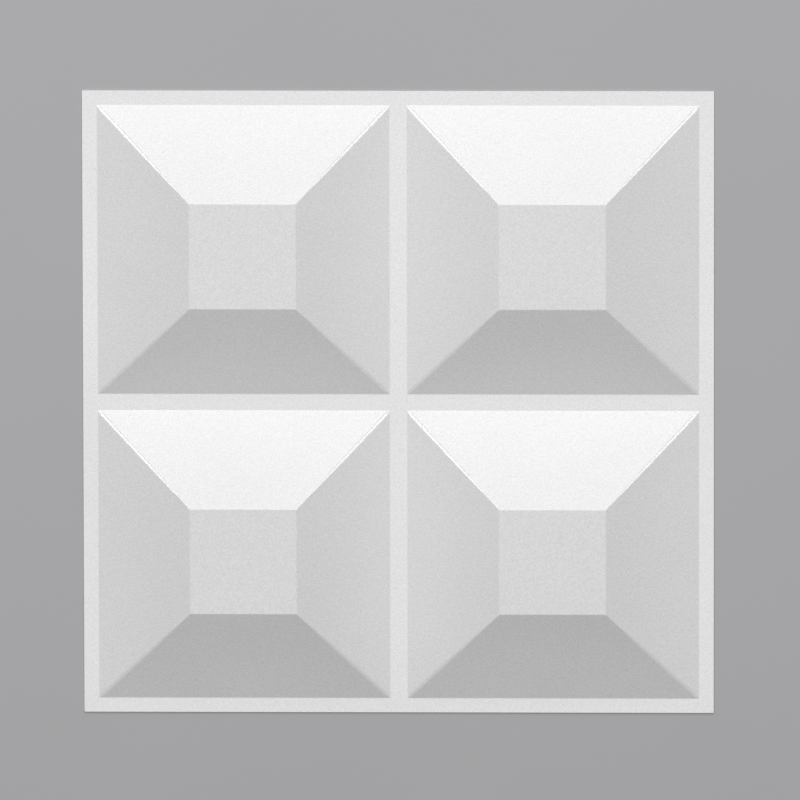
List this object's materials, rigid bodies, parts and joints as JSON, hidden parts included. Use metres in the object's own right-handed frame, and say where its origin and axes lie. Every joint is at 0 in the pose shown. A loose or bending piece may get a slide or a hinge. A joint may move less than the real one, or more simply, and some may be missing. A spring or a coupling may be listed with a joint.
{
  "type": "3d wall panel tile",
  "caption": "Square white wall panel tile of thin formed sheet, with raised hollow truncated pyramids between flat ribs.",
  "frame": {"origin": "centre of the back, on the underside of the rib crossing, in the plane that is glued to the wall", "axes": "+Z out of the wall, from the flat back towards the crowns; +Y is up on the wall in the picture, +X to the right"},
  "size_m": [0.5, 0.5, 0.035],
  "materials": {
    "white_sheet": "satin"
  },
  "bodies": {
    "root": {"wall_panel_tile": "white_sheet"}
  },
  "joints": []
}
